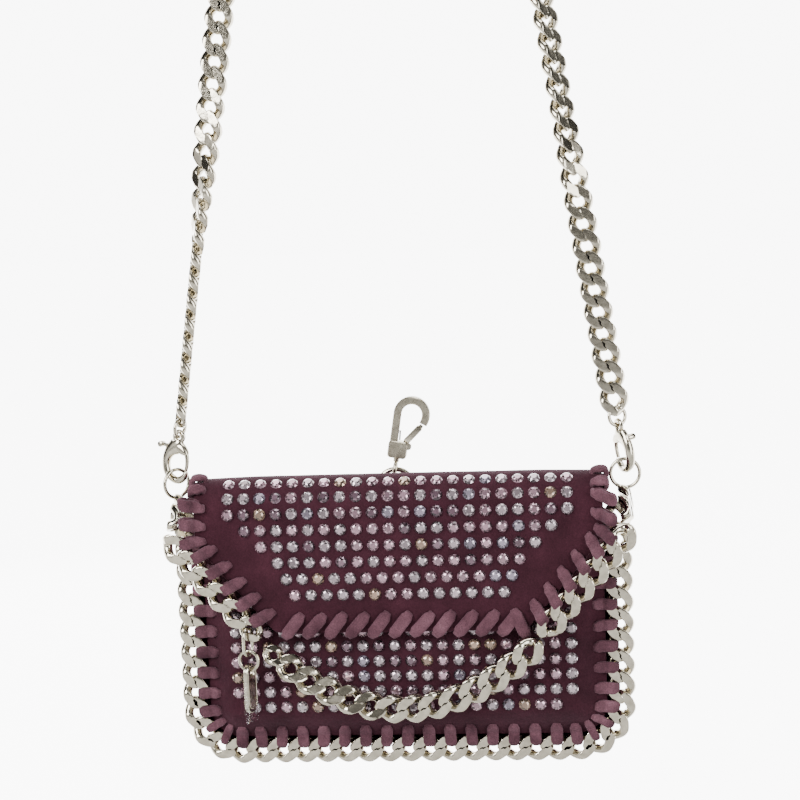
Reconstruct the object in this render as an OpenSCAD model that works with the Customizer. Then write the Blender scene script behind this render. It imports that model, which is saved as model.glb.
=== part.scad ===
// Small evening flap wallet of suede, whip-laced onto curb chain, hanging from a curb-chain strap.
// Millimetres. X runs across the wallet, -Y is its front, +Z is up.
// The origin is the point where the strap's arch rests on whatever holds the wallet up.

/* [Wallet] */
// Width of the suede panels
panel_w = 120; // [114:1:124]
// Height of the back panel, from its bottom edge to the fold's axis
panel_h = 70; // [68:1:72]
// Radius of the lower corners of the panels
corner_r = 9; // [8:0.5:10]
// Thickness of the suede
suede_t = 1.2; // [1:0.1:1.4]
// Thickness of the lining
lining_t = 0.5; // [0.3:0.1:0.6]
// How far the front panel bulges forward of the edge chain
front_bulge = 7.5; // [7.2:0.1:7.6]

/* [Flap] */
// Outer radius of the fold over the top
fold_r = 10.6; // [10.4:0.1:11]
// Height of the flap's lower edge above the bottom chain
flap_bottom = 39; // [39:0.5:42]
// Half width of the flap's lower edge
flap_tip_half = 37; // [36:0.5:38]

/* [Chain] */
// Distance from one link to the next
pitch = 6.4; // [6.3:0.05:6.5]
// Diameter of the link wire
wire_d = 1.35; // [1.2:0.05:1.4]
// Radius of a link's centreline
link_r = 4.15; // [4.1:0.05:4.15]
// Tilt of each link about the chain, to alternate sides
link_tilt = 30; // [28:1:32]
// Gap between the suede's edge and the edge chain's centreline
chain_gap = 4.3; // [4:0.1:5]

/* [Strap] */
// Height of the bend where the strap's strands turn into the arch, above the bottom chain
strap_bend_z = 232; // [225:1:240]
// Half distance between the strands at the bend
strap_bend_x = 45; // [43:1:47]

/* [Stones] */
// Diameter of a stone
stone_d = 3.3; // [3:0.1:3.6]
// Height of a stone
stone_h = 1.2; // [1:0.1:1.3]
// Distance between stones along a row
stone_step = 4.75; // [4.6:0.05:4.8]
// Distance between rows of stones
row_step = 4.6; // [4.5:0.05:4.7]

/* [Hardware] */
// Wire diameter of the corner rings and jump rings
ring_wire = 1.1; // [0.9:0.1:1.2]
// Outer diameter of the corner rings
corner_ring_d = 9.6; // [9:0.2:10]
// Height of the corner rings' upper wire, where the clasps hold them, above the bottom chain
hang_z = 87; // [86.5:0.5:88]
// Thickness of the clasp bodies
clasp_t = 2.8; // [2.6:0.1:3]
// Lean of the key hook to the right, in degrees
hook_lean = 10; // [8:1:16]

/* [Hidden] */
$fn = 48;

suede = "#5a2f45";
lace = "#a3808f";
silver = "#c9c5b8";
stone = "#e6d6dc";
twill = "#6b4a58";
steel = "#8d8a80";

panel_half = panel_w / 2;
panel_z = chain_gap;
edge_half = panel_half + chain_gap;
edge_corner = corner_r + chain_gap;
fold_z = panel_z + panel_h;
back_bulge = 7.6;
flap_gap = 0.3;
fold_y = back_bulge - (fold_r - flap_t() - flap_gap);
front_top = 76;
slope_in = 8;

// The strands lean in, so the arch between them spans a little under half a turn
ring_x = 67;
strand_lean = atan((ring_x - strap_bend_x) / (strap_bend_z - hang_z));
strand_up = [-sin(strand_lean), 0, cos(strand_lean)];
clasp_reach = 18.2;
strand_foot = [ring_x, 0, hang_z] + clasp_reach * strand_up;
arch_r = strap_bend_x / cos(strand_lean);
arch_z = strap_bend_z + arch_r * sin(strand_lean);
support_z = arch_z + arch_r - link_r;

function flap_t() = suede_t + lining_t;

// ---- paths: lists of points, walked at a constant pitch ----

function leg(path, i) = norm(path[i + 1] - path[i]);
function run_to(path, i) = i == 0 ? 0 : run_to(path, i - 1) + leg(path, i - 1);
function run_length(path) = run_to(path, len(path) - 1);
function leg_at(path, s, i = 0) =
    i >= len(path) - 2 || s <= run_to(path, i + 1) ? i : leg_at(path, s, i + 1);
function point_at(path, s) =
    let (i = leg_at(path, s))
    path[i] + (path[i + 1] - path[i]) * (s - run_to(path, i)) / leg(path, i);
function unit(v) = v / norm(v);
function heading_at(path, s) = unit(point_at(path, s + pitch / 3) - point_at(path, s - pitch / 3));
function arc_points(c, r, a0, a1, n) =
    [for (k = [0 : n]) let (a = a0 + (a1 - a0) * k / n) c + r * [cos(a), 0, sin(a)]];
function mirrored(path) = [for (p = path) [-p[0], p[1], p[2]]];

// Puts children at p, with their X along the heading and their Z facing away from the wallet
module stand(p, heading, facing = [0, -1, 0]) {
    across = unit(cross(facing, heading));
    out = cross(heading, across);
    multmatrix([[heading[0], across[0], out[0], p[0]],
                [heading[1], across[1], out[1], p[1]],
                [heading[2], across[2], out[2], p[2]],
                [0, 0, 0, 1]])
        children();
}

// The wallet is drawn from its bottom chain up, then hung below the origin
module hung() {
    translate([0, 0, -support_z])
        children();
}

// ---- chain link ----
// Neighbouring links tilt opposite ways about the chain, so each lies nearly flat and passes
// through the next.

module torus(r, d) {
    rotate_extrude()
        translate([r, 0])
            circle(d = d);
}

module rod(a, b, d) {
    v = b - a;
    translate(a)
        rotate([0, acos(v[2] / norm(v)), atan2(v[1], v[0])])
            cylinder(h = norm(v), d = d);
}

module links(path, first, count, step = pitch, tilt = link_tilt) {
    for (k = [0 : count - 1])
        stand(point_at(path, first + k * step), heading_at(path, first + k * step))
            rotate([k % 2 == 0 ? tilt : -tilt, 0, 0])
                torus(link_r, wire_d);
}

// ---- outlines, in X and Z ----

function corner(c, r, a0, a1) = [for (k = [0 : 8]) let (a = a0 + (a1 - a0) * k / 8) c + r * [cos(a), sin(a)]];

function panel_outline(inset, top) = concat(
    [[-panel_half + inset, top]],
    corner([-panel_half + corner_r, panel_z + corner_r], corner_r - inset, 180, 270),
    corner([panel_half - corner_r, panel_z + corner_r], corner_r - inset, 270, 360),
    [[panel_half - inset, top]]);

module sheet(outline, y0, y1) {
    translate([0, y1, 0])
        rotate([90, 0, 0])
            linear_extrude(y1 - y0)
                polygon(outline);
}

// ---- pouch ----

// A shallow tray: flat in the middle, sloping back to its rim at y = 0.5 on three sides
module tray(bulge, top) {
    skin = 0.1;
    rim = 0.5;
    difference() {
        hull() {
            sheet(panel_outline(0, top), rim, rim + skin);
            sheet(panel_outline(slope_in, top), bulge - skin, bulge);
        }
        hull() {
            sheet(panel_outline(1.6, top + 1), rim - 1, rim);
            sheet(panel_outline(slope_in + 0.6, top + 1), bulge - suede_t - skin, bulge - suede_t);
        }
    }
}

module front_panel() {
    color(suede)
        hung()
            mirror([0, 1, 0])
                tray(front_bulge, front_top);
}

module front_lining() {
    color(twill)
        hung()
            sheet(panel_outline(slope_in + 1, front_top - 1), -front_bulge + suede_t,
                  -front_bulge + suede_t + lining_t);
}

module fold_shell(r, t, a0, a1) {
    translate([-panel_half, fold_y, fold_z])
        rotate([90, 0, 90])
            rotate([0, 0, a0])
                rotate_extrude(angle = a1 - a0)
                    translate([r - t, 0])
                        square([t, panel_w]);
}

module back_panel() {
    color(suede)
        hung() {
            tray(back_bulge, fold_z);
            fold_shell(back_bulge - fold_y, suede_t, 0, 88);
        }
}

module back_lining() {
    color(twill)
        hung()
            sheet(panel_outline(slope_in + 1, fold_z - 1), back_bulge - suede_t - lining_t,
                  back_bulge - suede_t);
}

// An open-topped pocket sewn on three sides to the back lining, wide enough for a bank card
module card_pocket() {
    pocket_w = 92;
    pocket_h = 48;
    seam = 2;
    gap = 0.9;
    back = back_bulge - suede_t - lining_t;
    color(twill)
        hung()
            difference() {
                translate([-pocket_w / 2, back - lining_t - gap, panel_z + 10])
                    cube([pocket_w, lining_t + gap, pocket_h]);
                translate([-pocket_w / 2 + seam, back - gap, panel_z + 10 + seam])
                    cube([pocket_w - 2 * seam, gap + 1, pocket_h]);
            }
}

snap_z = 57;
snap_r = 5;
snap_t = 0.9;

module snap_socket() {
    color(silver)
        hung()
            translate([0, -front_bulge, snap_z])
                rotate([90, 0, 0])
                    difference() {
                        cylinder(h = snap_t, r = snap_r);
                        translate([0, 0, snap_t - 0.4])
                            cylinder(h = 1, r = 2.2);
                    }
}

module snap_socket_washer() {
    color(silver)
        hung()
            translate([0, -front_bulge + suede_t + lining_t + 0.5, snap_z])
                rotate([90, 0, 0])
                    cylinder(h = 0.5, r = snap_r);
}

module stone_solid() {
    cylinder(h = 0.4 * stone_h, d = stone_d);
    translate([0, 0, 0.4 * stone_h])
        cylinder(h = 0.6 * stone_h, d1 = stone_d, d2 = 0.55 * stone_d);
}

front_rows = 8;
front_columns = 22;
front_first_z = 15.3;

module front_stones() {
    color(stone)
        hung()
            for (row = [0 : front_rows - 1])
                for (k = [0 : front_columns - 1])
                    if (row > 0 || (k > 0 && k < front_columns - 1))
                        translate([(k - (front_columns - 1) / 2) * stone_step, -front_bulge,
                                   front_first_z + row * row_step])
                            rotate([90, 0, 0])
                                stone_solid();
}

// ---- edge chain and its lacing ----

edge_top = 76;
edge_path = concat(
    [[-edge_half, 0, edge_top]],
    arc_points([-edge_half + edge_corner, 0, edge_corner], edge_corner, 180, 270, 16),
    arc_points([edge_half - edge_corner, 0, edge_corner], edge_corner, 270, 360, 16),
    [[edge_half, 0, edge_top]]);
edge_links = floor((run_length(edge_path) - 2 * link_r) / pitch) + 1;
edge_first = (run_length(edge_path) - (edge_links - 1) * pitch) / 2;

module edge_chain() {
    color(silver)
        hung()
            links(edge_path, edge_first, edge_links);
}

// A flat lace looped through the suede's edge and round the inner wire of a link.
// It lies along its own -Y, from the link's centreline to the hole in the suede.
module lace_loop(reach, thick) {
    wide = 2.6;
    leather = 0.8;
    outer = 1.1;
    difference() {
        translate([-wide / 2, -reach, -thick / 2])
            cube([wide, reach - outer, thick]);
        translate([-wide, -reach + leather, -thick / 2 + leather])
            cube([2 * wide, reach - outer - 2 * leather, thick - 2 * leather]);
    }
}

edge_reach = 7.6;
edge_loop_t = 4.2;

module edge_lacing() {
    color(lace)
        hung()
            for (k = [0 : edge_links - 1])
                stand(point_at(edge_path, edge_first + k * pitch),
                      -heading_at(edge_path, edge_first + k * pitch))
                    lace_loop(edge_reach, edge_loop_t);
}

// ---- corner rings and the links that join them to the flap's chain ----

ring_r = (corner_ring_d - ring_wire) / 2;
module corner_ring(side, turn) {
    color(silver)
        hung()
            translate([side * ring_x, 0, hang_z - ring_r])
                rotate([0, 0, turn])
                    rotate([90, 0, 0])
                        torus(ring_r, ring_wire);
}

module corner_ring_left() {
    corner_ring(-1, 45);
}

module corner_ring_right() {
    corner_ring(1, 0);
}

chain_y = -13.9;
flap_chain_top = [-66, chain_y, 68];
corner_path = [[-67, 1, hang_z - 2 * ring_r - 3], [-67, -5, 74], flap_chain_top];

module corner_links(path, tilt) {
    color(silver)
        hung()
            links(path, 1, 2, tilt = tilt);
}

module corner_links_left() {
    corner_links(corner_path, link_tilt);
}

module corner_links_right() {
    corner_links(mirrored(corner_path), -link_tilt);
}

// ---- flap ----

flap_shoulder = 66;
function flap_outline(inset) = [
    [-panel_half + inset, fold_z + fold_r + 1], [-panel_half + inset, flap_shoulder + 2],
    [-panel_half + 1.5 + inset, flap_shoulder - 2],
    [-flap_tip_half - 1 + inset, flap_bottom + 1.5 + inset], [-flap_tip_half + 1 + inset, flap_bottom + inset],
    [flap_tip_half - 1 - inset, flap_bottom + inset], [flap_tip_half + 1 - inset, flap_bottom + 1.5 + inset],
    [panel_half - 1.5 - inset, flap_shoulder - 2],
    [panel_half - inset, flap_shoulder + 2], [panel_half - inset, fold_z + fold_r + 1]];

function fold_arc(r, a0, a1) =
    [for (k = [0 : 16]) let (a = a0 + (a1 - a0) * k / 16) [fold_y + r * cos(a), fold_z + r * sin(a)]];

// A layer of the flap: curved round the fold from angle a0, then straight down, cut to the flap's outline
module flap_layer(r, t, a0, inset) {
    intersection() {
        translate([-panel_half, 0, 0])
            rotate([90, 0, 90])
                linear_extrude(panel_w)
                    polygon(concat(fold_arc(r, a0, 180), [[fold_y - r, 0], [fold_y - r + t, 0]],
                                   fold_arc(r - t, 180, a0)));
        sheet(flap_outline(inset), fold_y - r - 1, back_bulge);
    }
}

flap_front = fold_y - fold_r;

module flap() {
    color(suede)
        hung()
            flap_layer(fold_r, suede_t, 94, 0);
}

module flap_lining() {
    color(twill)
        hung()
            flap_layer(fold_r - suede_t, lining_t, 94, 1);
}

module snap_stud() {
    color(silver)
        hung()
            translate([0, flap_front + flap_t(), snap_z])
                rotate([-90, 0, 0])
                    cylinder(h = 1.3, r = snap_r);
}

// How many stones each row of the flap has, from the top row down
flap_rows = [22, 22, 22, 20, 18, 16, 15, 14];
flap_row_step = 4.9;
flap_row_top = 70;
rows_on_fold = 3;
fold_row_angle = 26.5;
first_row_angle = 3;

module flap_stone_row(count, height) {
    for (k = [0 : count - 1])
        translate([(k - (count - 1) / 2) * stone_step, 0, height])
            rotate([90, 0, 0])
                stone_solid();
}

module flap_stones() {
    color(stone)
        hung() {
            for (row = [0 : rows_on_fold - 1])
                translate([0, fold_y, fold_z])
                    rotate([-fold_row_angle * (rows_on_fold - 1 - row) - first_row_angle, 0, 0])
                        translate([0, -fold_r, 0])
                            flap_stone_row(flap_rows[row], 0);
            for (row = [rows_on_fold : len(flap_rows) - 1])
                translate([0, flap_front, 0])
                    flap_stone_row(flap_rows[row], flap_row_top - (row - rows_on_fold) * flap_row_step);
        }
}

flap_corner = [-flap_tip_half - 4, chain_y, flap_bottom - 1.6];
flap_side_path = [flap_chain_top + [0, 0, 2], flap_chain_top + [0.6, 0, -2], flap_corner];
side_links = 6;
side_first = 4.5;

flap_chain_tilt = 20;

module flap_chain(path, tilt) {
    color(silver)
        hung()
            links(path, side_first, side_links, tilt = tilt);
}

module flap_chain_left() {
    flap_chain(flap_side_path, flap_chain_tilt);
}

module flap_chain_right() {
    flap_chain(mirrored(flap_side_path), -flap_chain_tilt);
}

flap_loop_t = 3.4;
flap_loop_y = 1.6;

module side_lacing(path, turn) {
    for (k = [0 : side_links - 1]) {
        s = side_first + k * pitch;
        translate([0, flap_loop_y, 0])
            stand(point_at(path, s), turn * heading_at(path, s))
                lace_loop(edge_reach, flap_loop_t);
    }
}

module flap_side_lacing() {
    color(lace)
        hung() {
            side_lacing(flap_side_path, -1);
            side_lacing(mirrored(flap_side_path), 1);
        }
}

bottom_laces = 11;
bottom_lace_lean = 30;

// Laces whipped over the flap's free lower edge
module flap_bottom_lacing() {
    long = 6.4;
    thick = 3.4;
    leather = 0.8;
    color(lace)
        hung()
            for (k = [0 : bottom_laces - 1])
                translate([(k - (bottom_laces - 1) / 2) * pitch, flap_front + flap_t() / 2, flap_bottom + 2])
                    rotate([0, bottom_lace_lean, 0])
                        difference() {
                            cube([2.4, thick, long], center = true);
                            cube([3, thick - 2 * leather, long - 2 * leather], center = true);
                        }
}

// ---- swag chain: hangs between the flap's corners ----

swag_half = -flap_corner[0] - 3;
swag_end_z = flap_corner[2] - 4;
swag_sag = 17;
swag_path = [for (k = [0 : 24])
    let (u = -1 + k / 12)
    [u * swag_half, chain_y - 0.4, swag_end_z - swag_sag * (1 - u * u)]];
swag_links = floor(run_length(swag_path) / pitch) + 1;
swag_first = (run_length(swag_path) - (swag_links - 1) * pitch) / 2;

module swag_chain() {
    color(silver)
        hung()
            links(swag_path, swag_first, swag_links);
}

// ---- pendant ----

pendant = [-45, chain_y - 1.2, 41.4];
pendant_link_h = 8;
pendant_link_w = 5;
pendant_ring_r = 2.9;
pendant_turn = 70;

// An oval loop of wire in the X-Z plane, hanging from its upper wire at z = 0
module oval(w, h, d) {
    for (k = [0, 1])
        translate([0, 0, -w / 2 - k * (h - w)])
            rotate([90, 0, 0])
                rotate([0, 0, k * 180])
                    rotate_extrude(angle = 180)
                        translate([w / 2, 0])
                            circle(d = d);
    for (side = [-1, 1])
        translate([side * w / 2, 0, -h + w / 2])
            cylinder(h = h - w, d = d);
}

module pendant_link() {
    color(silver)
        hung()
            translate(pendant)
                rotate([0, 0, pendant_turn])
                    oval(pendant_link_w, pendant_link_h, 1);
}

ring_drop = pendant_link_h - 1.3;

module pendant_ring() {
    color(silver)
        hung()
            translate(pendant - [0, 0, ring_drop + pendant_ring_r])
                rotate([0, 0, -10])
                    rotate([90, 0, 0])
                        torus(pendant_ring_r, 1);
}

tag_h = 15;
tag_w = 5.6;
tag_t = 1.5;
tag_drop = ring_drop + 2 * pendant_ring_r + 0.7;
tag_turn = 70;

// A flat oval tag with a hole near its top
module charm_tag() {
    color(silver)
        hung()
            translate(pendant - [0, 0, tag_drop])
                rotate([0, 0, tag_turn])
                    difference() {
                        union() {
                            for (z = [0, -(tag_h - tag_w)])
                                translate([0, tag_t / 2, z])
                                    rotate([90, 0, 0])
                                        cylinder(h = tag_t, d = tag_w);
                            translate([-tag_w / 2, -tag_t / 2, -(tag_h - tag_w)])
                                cube([tag_w, tag_t, tag_h - tag_w]);
                        }
                        rotate([90, 0, 0])
                            cylinder(h = 10, r = 1.3, center = true);
                    }
}

// A clear film sleeve over the tag, open at the top
module charm_film() {
    film_w = 6.6;
    film_d = 2.2;
    film_h = 13;
    film_t = 0.2;
    color("#dfe6e8", 0.5)
        hung()
            translate(pendant - [0, 0, tag_drop + 2 + film_h])
                rotate([0, 0, tag_turn])
                    difference() {
                        translate([-film_w / 2, -film_d / 2, 0])
                            cube([film_w, film_d, film_h]);
                        translate([-film_w / 2 + film_t, -film_d / 2 + film_t, film_t])
                            cube([film_w - 2 * film_t, film_d - 2 * film_t, film_h]);
                    }
}

// ---- key hook, standing up behind the fold ----

key_x = -2;
key_y = back_bulge + 4;
key_ring_r = 5.4;
key_ring_z = 79.5;
key_axis_z = key_ring_z - key_ring_r;

// A folded leather tab riveted to the back panel, holding the key ring
module key_tab() {
    tab_w = 8;
    color(suede)
        hung()
            translate([key_x - tab_w / 2, back_bulge, 0])
                difference() {
                    union() {
                        translate([0, 0, key_axis_z - 16])
                            cube([tab_w, 2.4, 16]);
                        translate([0, key_y - back_bulge, key_axis_z])
                            rotate([0, 90, 0])
                                cylinder(h = tab_w, r = 1.7);
                        translate([0, 0, key_axis_z - 1.7])
                            cube([tab_w, key_y - back_bulge, 3.4]);
                    }
                    translate([-1, key_y - back_bulge, key_axis_z])
                        rotate([0, 90, 0])
                            cylinder(h = tab_w + 2, r = 0.9);
                }
}

module key_tab_rivet() {
    color(silver)
        hung()
            translate([key_x, back_bulge + 2.4, key_axis_z - 11])
                rotate([-90, 0, 0])
                    cylinder(h = 0.8, r = 1.8);
}

// A D-shaped ring: straight bar in the tab, round bow above it
module key_ring() {
    wire = 1.6;
    bar_half = key_ring_r;
    color(silver)
        hung()
            translate([key_x, key_y, key_axis_z]) {
                translate([-bar_half, 0, 0])
                    rotate([0, 90, 0])
                        cylinder(h = 2 * bar_half, d = wire);
                for (side = [-1, 1])
                    translate([side * bar_half, 0, 0])
                        sphere(d = wire);
                translate([0, 0, 4])
                    rotate([90, 0, 0])
                        rotate_extrude(angle = 180)
                            translate([bar_half, 0])
                                circle(d = wire);
                for (side = [-1, 1])
                    translate([side * bar_half, 0, 0])
                        cylinder(h = 4, d = wire);
            }
}

hook_foot = [key_x, key_y, key_axis_z + 4 + key_ring_r + 0.3];
block_w = 6.2;
block_h = 5.2;
block_t = 4;
block_z = 3.4;
bar_t = 2.2;
bow_r = 4.3;
bow_x = 2.8;
bow_z = 17.2;
nose_h = 2.2;
stem_r = 0.9;
cap_r = 1.5;
rivet_r = 0.6;

module at_hook() {
    hung()
        translate(hook_foot)
            rotate([0, hook_lean, 0])
                children();
}

// Eye round the key ring, and the capped stem that the hook turns on
module hook_swivel() {
    color(steel)
        at_hook() {
            rotate([0, 90, 0])
                torus(2, 1.2);
            translate([0, 0, 2.2])
                cylinder(h = 3.4, r = stem_r);
            translate([0, 0, 5.1])
                cylinder(h = 0.7, r = cap_r);
        }
}

// Block with a flat bar bent over into the hook
module key_hook() {
    color(silver)
        at_hook()
            difference() {
                union() {
                    translate([-block_w / 2, -block_t / 2, block_z])
                        cube([block_w, block_t, block_h]);
                    translate([bow_x - bow_r - bar_t / 2, -bar_t / 2, block_z + block_h - 1])
                        cube([bar_t, bar_t, bow_z - block_z - block_h + 1]);
                    translate([bow_x, bar_t / 2, bow_z])
                        rotate([90, 0, 0])
                            difference() {
                                cylinder(h = bar_t, r = bow_r + bar_t / 2);
                                translate([0, 0, -1])
                                    cylinder(h = bar_t + 2, r = bow_r - bar_t / 2);
                                translate([-10, -20, -1])
                                    cube([20, 20, bar_t + 2]);
                            }
                    translate([bow_x + bow_r - bar_t / 2, -bar_t / 2, bow_z - nose_h])
                        cube([bar_t, bar_t, nose_h + 0.1]);
                }
                translate([0, 0, block_z - 1])
                    cylinder(h = 2.6, r = stem_r + 0.05);
                translate([0, 0, block_z + 1])
                    cylinder(h = 1.8, r = cap_r + 0.1);
                translate([-0.3, -0.9, block_z + 2.6])
                    cube([6, 1.8, block_h]);
                at_gate_pivot(block_t / 2 + 1)
                    cylinder(h = block_t + 2, r = rivet_r + 0.02);
            }
}

gate_pivot = [1.2, 0, block_z + 3.9];

// Children lie along +Y from the gate's pivot, starting in front of it
module at_gate_pivot(in_front) {
    translate(gate_pivot + [0, in_front, 0])
        rotate([90, 0, 0])
            children();
}

module hook_rivet() {
    color(silver)
        at_hook()
            at_gate_pivot(block_t / 2 + 0.3)
                cylinder(h = block_t + 0.6, r = rivet_r);
}

// Straight gate from the rivet to the hook's nose, with a thumb tab at its foot
module hook_gate() {
    gate_t = 1.5;
    gate_len = 8.4;
    gate_lean = 36;
    color(silver)
        at_hook()
            difference() {
                union() {
                    at_gate_pivot(gate_t / 2)
                        cylinder(h = gate_t, r = 1.1);
                    translate(gate_pivot)
                        rotate([0, gate_lean, 0])
                            translate([-0.8, -gate_t / 2, 0])
                                cube([1.6, gate_t, gate_len]);
                    translate(gate_pivot + [0, -gate_t / 2, 0])
                        cube([2.8, gate_t, 1]);
                }
                at_gate_pivot(5)
                    cylinder(h = 10, r = rivet_r + 0.05);
            }
}

// A bent wire that pushes the gate shut
module hook_spring() {
    color("#2c2a28")
        at_hook()
            rod([0.2, 0, 8.9], [0, 0, 11.8], 0.5);
}

// ---- lobster clasps ----
// Drawn with the eye above and the gate at +X; the held ring's wire lies claw_drop above the origin.

claw_w = 4.5;
claw_h = 6;
claw_z = 4.5;
claw_drop = 2.5;
bar_w = 1.5;
pivot = [-0.6, 0, 9.4];
eye_z = 12.6;

function ellipse(c, rx, rz, a0, a1) =
    [for (k = [0 : 24]) let (a = a0 + (a1 - a0) * k / 24) c + [rx * cos(a), rz * sin(a)]];

module clasp_place(side, turn) {
    hung()
        translate([side * ring_x, 0, hang_z])
            rotate([0, -side * strand_lean, 0])
                translate([0, 0, -claw_drop])
                    rotate([0, 0, turn])
                        children();
}

// Claw body: a bent bar open at the gate, two cheeks for the lever, and an eye
module clasp_body() {
    difference() {
        union() {
            sheet(ellipse([0, claw_z], claw_w, claw_h, 0, 360), -clasp_t / 2, clasp_t / 2);
            translate([0, clasp_t / 2, eye_z])
                rotate([90, 0, 0])
                    cylinder(h = clasp_t, r = 2);
            translate([-1.4, -clasp_t / 2, claw_z + claw_h - 1])
                cube([2.8, clasp_t, 2]);
        }
        sheet(ellipse([0, claw_z - 0.4], claw_w - bar_w, claw_h - bar_w - 0.9, 0, 360), -5, 5);
        translate([claw_w - 3, -5, 2.2])
            cube([5, 10, 6]);
        translate([-8, -0.8, 7.4])
            cube([16, 1.6, 3.6]);
        translate([0, 5, eye_z])
            rotate([90, 0, 0])
                cylinder(h = 10, r = 1);
        translate(pivot + [0, 5, 0])
            rotate([90, 0, 0])
                cylinder(h = 10, r = 0.45);
    }
}

module clasp_pin() {
    translate(pivot + [0, clasp_t / 2, 0])
        rotate([90, 0, 0])
            cylinder(h = clasp_t, r = 0.45);
}

// Lever: the gate on the right, a thumb knob on the left, turning on the pin
module clasp_lever() {
    lever_t = 1.3;
    difference() {
        union() {
            translate(pivot)
                rotate([90, 0, 0])
                    cylinder(h = lever_t, r = 1.15, center = true);
            translate([-5.4, -lever_t / 2, 8.8])
                cube([5, lever_t, 1.1]);
            translate([-5.9, 1.2, 9.35])
                rotate([90, 0, 0])
                    cylinder(h = 2.4, r = 0.9);
            translate([-0.6, -lever_t / 2, 8.5])
                cube([4.6, lever_t, 1.5]);
            translate([2.6, -lever_t / 2, 3.1])
                cube([1.5, lever_t, 5.9]);
        }
        translate(pivot)
            rotate([90, 0, 0])
                cylinder(h = 10, r = 0.5, center = true);
    }
}

// Flat leaf spring lying inside the spine, under the lever
module clasp_spring() {
    rod([-3.2, 0, 7.75], [-1, 0, 7.95], 0.5);
}

jump_r = 2.7;

module clasp_jump_ring() {
    translate([0, 0, eye_z + jump_r])
        rotate([0, 0, 90])
            rotate([90, 0, 0])
                torus(jump_r, ring_wire);
}

left_turn = -22;
right_turn = 120;

module clasp_left() {
    color(silver)
        clasp_place(-1, left_turn)
            clasp_body();
}

module clasp_left_pin() {
    color(silver)
        clasp_place(-1, left_turn)
            clasp_pin();
}

module clasp_left_lever() {
    color(silver)
        clasp_place(-1, left_turn)
            clasp_lever();
}

module clasp_left_spring() {
    color(steel)
        clasp_place(-1, left_turn)
            clasp_spring();
}

module clasp_left_jump_ring() {
    color(silver)
        clasp_place(-1, left_turn)
            clasp_jump_ring();
}

module clasp_right() {
    color(silver)
        clasp_place(1, right_turn)
            clasp_body();
}

module clasp_right_pin() {
    color(silver)
        clasp_place(1, right_turn)
            clasp_pin();
}

module clasp_right_lever() {
    color(silver)
        clasp_place(1, right_turn)
            clasp_lever();
}

module clasp_right_spring() {
    color(steel)
        clasp_place(1, right_turn)
            clasp_spring();
}

module clasp_right_jump_ring() {
    color(silver)
        clasp_place(1, right_turn)
            clasp_jump_ring();
}

// ---- strap ----

strap_path = concat(
    [[-strand_foot[0], 0, strand_foot[2]]],
    arc_points([0, 0, arch_z], arch_r, 180 + strand_lean, -strand_lean, 32),
    [strand_foot]);
strand_links = 20;
strap_total = 2 * floor(run_length(strap_path) / pitch / 2) + 1;
strap_step = run_length(strap_path) / (strap_total - 1);

module strap_part(first, count) {
    color(silver)
        hung()
            links(strap_path, first * strap_step, count, strap_step, first % 2 == 0 ? link_tilt : -link_tilt);
}

module strap_left() {
    strap_part(0, strand_links);
}

module strap_right() {
    strap_part(strap_total - strand_links, strand_links);
}

module strap_arch() {
    strap_part(strand_links, strap_total - 2 * strand_links);
}

front_panel();
front_lining();
back_panel();
back_lining();
card_pocket();
snap_socket();
snap_socket_washer();
front_stones();
edge_chain();
edge_lacing();
corner_ring_left();
corner_ring_right();
corner_links_left();
corner_links_right();
key_tab();
key_tab_rivet();
flap();
flap_lining();
snap_stud();
flap_stones();
flap_chain_left();
flap_chain_right();
flap_side_lacing();
flap_bottom_lacing();
swag_chain();
pendant_link();
pendant_ring();
charm_tag();
charm_film();
key_ring();
hook_swivel();
key_hook();
hook_rivet();
hook_gate();
hook_spring();
clasp_left();
clasp_left_pin();
clasp_left_lever();
clasp_left_spring();
clasp_left_jump_ring();
clasp_right();
clasp_right_pin();
clasp_right_lever();
clasp_right_spring();
clasp_right_jump_ring();
strap_left();
strap_right();
strap_arch();
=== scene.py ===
"""Small evening flap wallet: plum suede laced onto curb chain, set with stones, on a chain strap.

Lengths are in millimetres in the wallet's own frame until they become mesh points: X across,
-Y front, Z up from the centreline of the bottom chain.
"""

import math
import random

import bpy
import numpy as np
from mathutils import Matrix, Vector, noise


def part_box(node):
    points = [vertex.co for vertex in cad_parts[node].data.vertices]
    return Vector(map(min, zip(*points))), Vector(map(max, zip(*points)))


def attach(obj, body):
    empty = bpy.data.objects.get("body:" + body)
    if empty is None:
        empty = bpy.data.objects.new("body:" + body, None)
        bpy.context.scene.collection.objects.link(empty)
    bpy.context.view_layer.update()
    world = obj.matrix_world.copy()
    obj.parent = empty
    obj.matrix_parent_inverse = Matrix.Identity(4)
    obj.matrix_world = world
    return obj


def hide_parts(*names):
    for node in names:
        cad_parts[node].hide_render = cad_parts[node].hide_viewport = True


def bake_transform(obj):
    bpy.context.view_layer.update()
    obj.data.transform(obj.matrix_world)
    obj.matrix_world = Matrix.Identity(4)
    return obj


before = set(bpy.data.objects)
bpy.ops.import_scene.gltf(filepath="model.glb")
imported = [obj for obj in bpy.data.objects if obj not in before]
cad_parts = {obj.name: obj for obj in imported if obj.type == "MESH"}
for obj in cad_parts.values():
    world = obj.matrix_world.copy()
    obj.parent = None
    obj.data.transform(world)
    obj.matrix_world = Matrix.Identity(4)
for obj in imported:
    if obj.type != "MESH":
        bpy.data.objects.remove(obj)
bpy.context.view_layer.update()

MM = 0.001
PANEL_HALF = 60.0
PANEL_LOW = 4.3
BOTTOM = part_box("front_panel")[0].z / MM - PANEL_LOW

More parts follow.
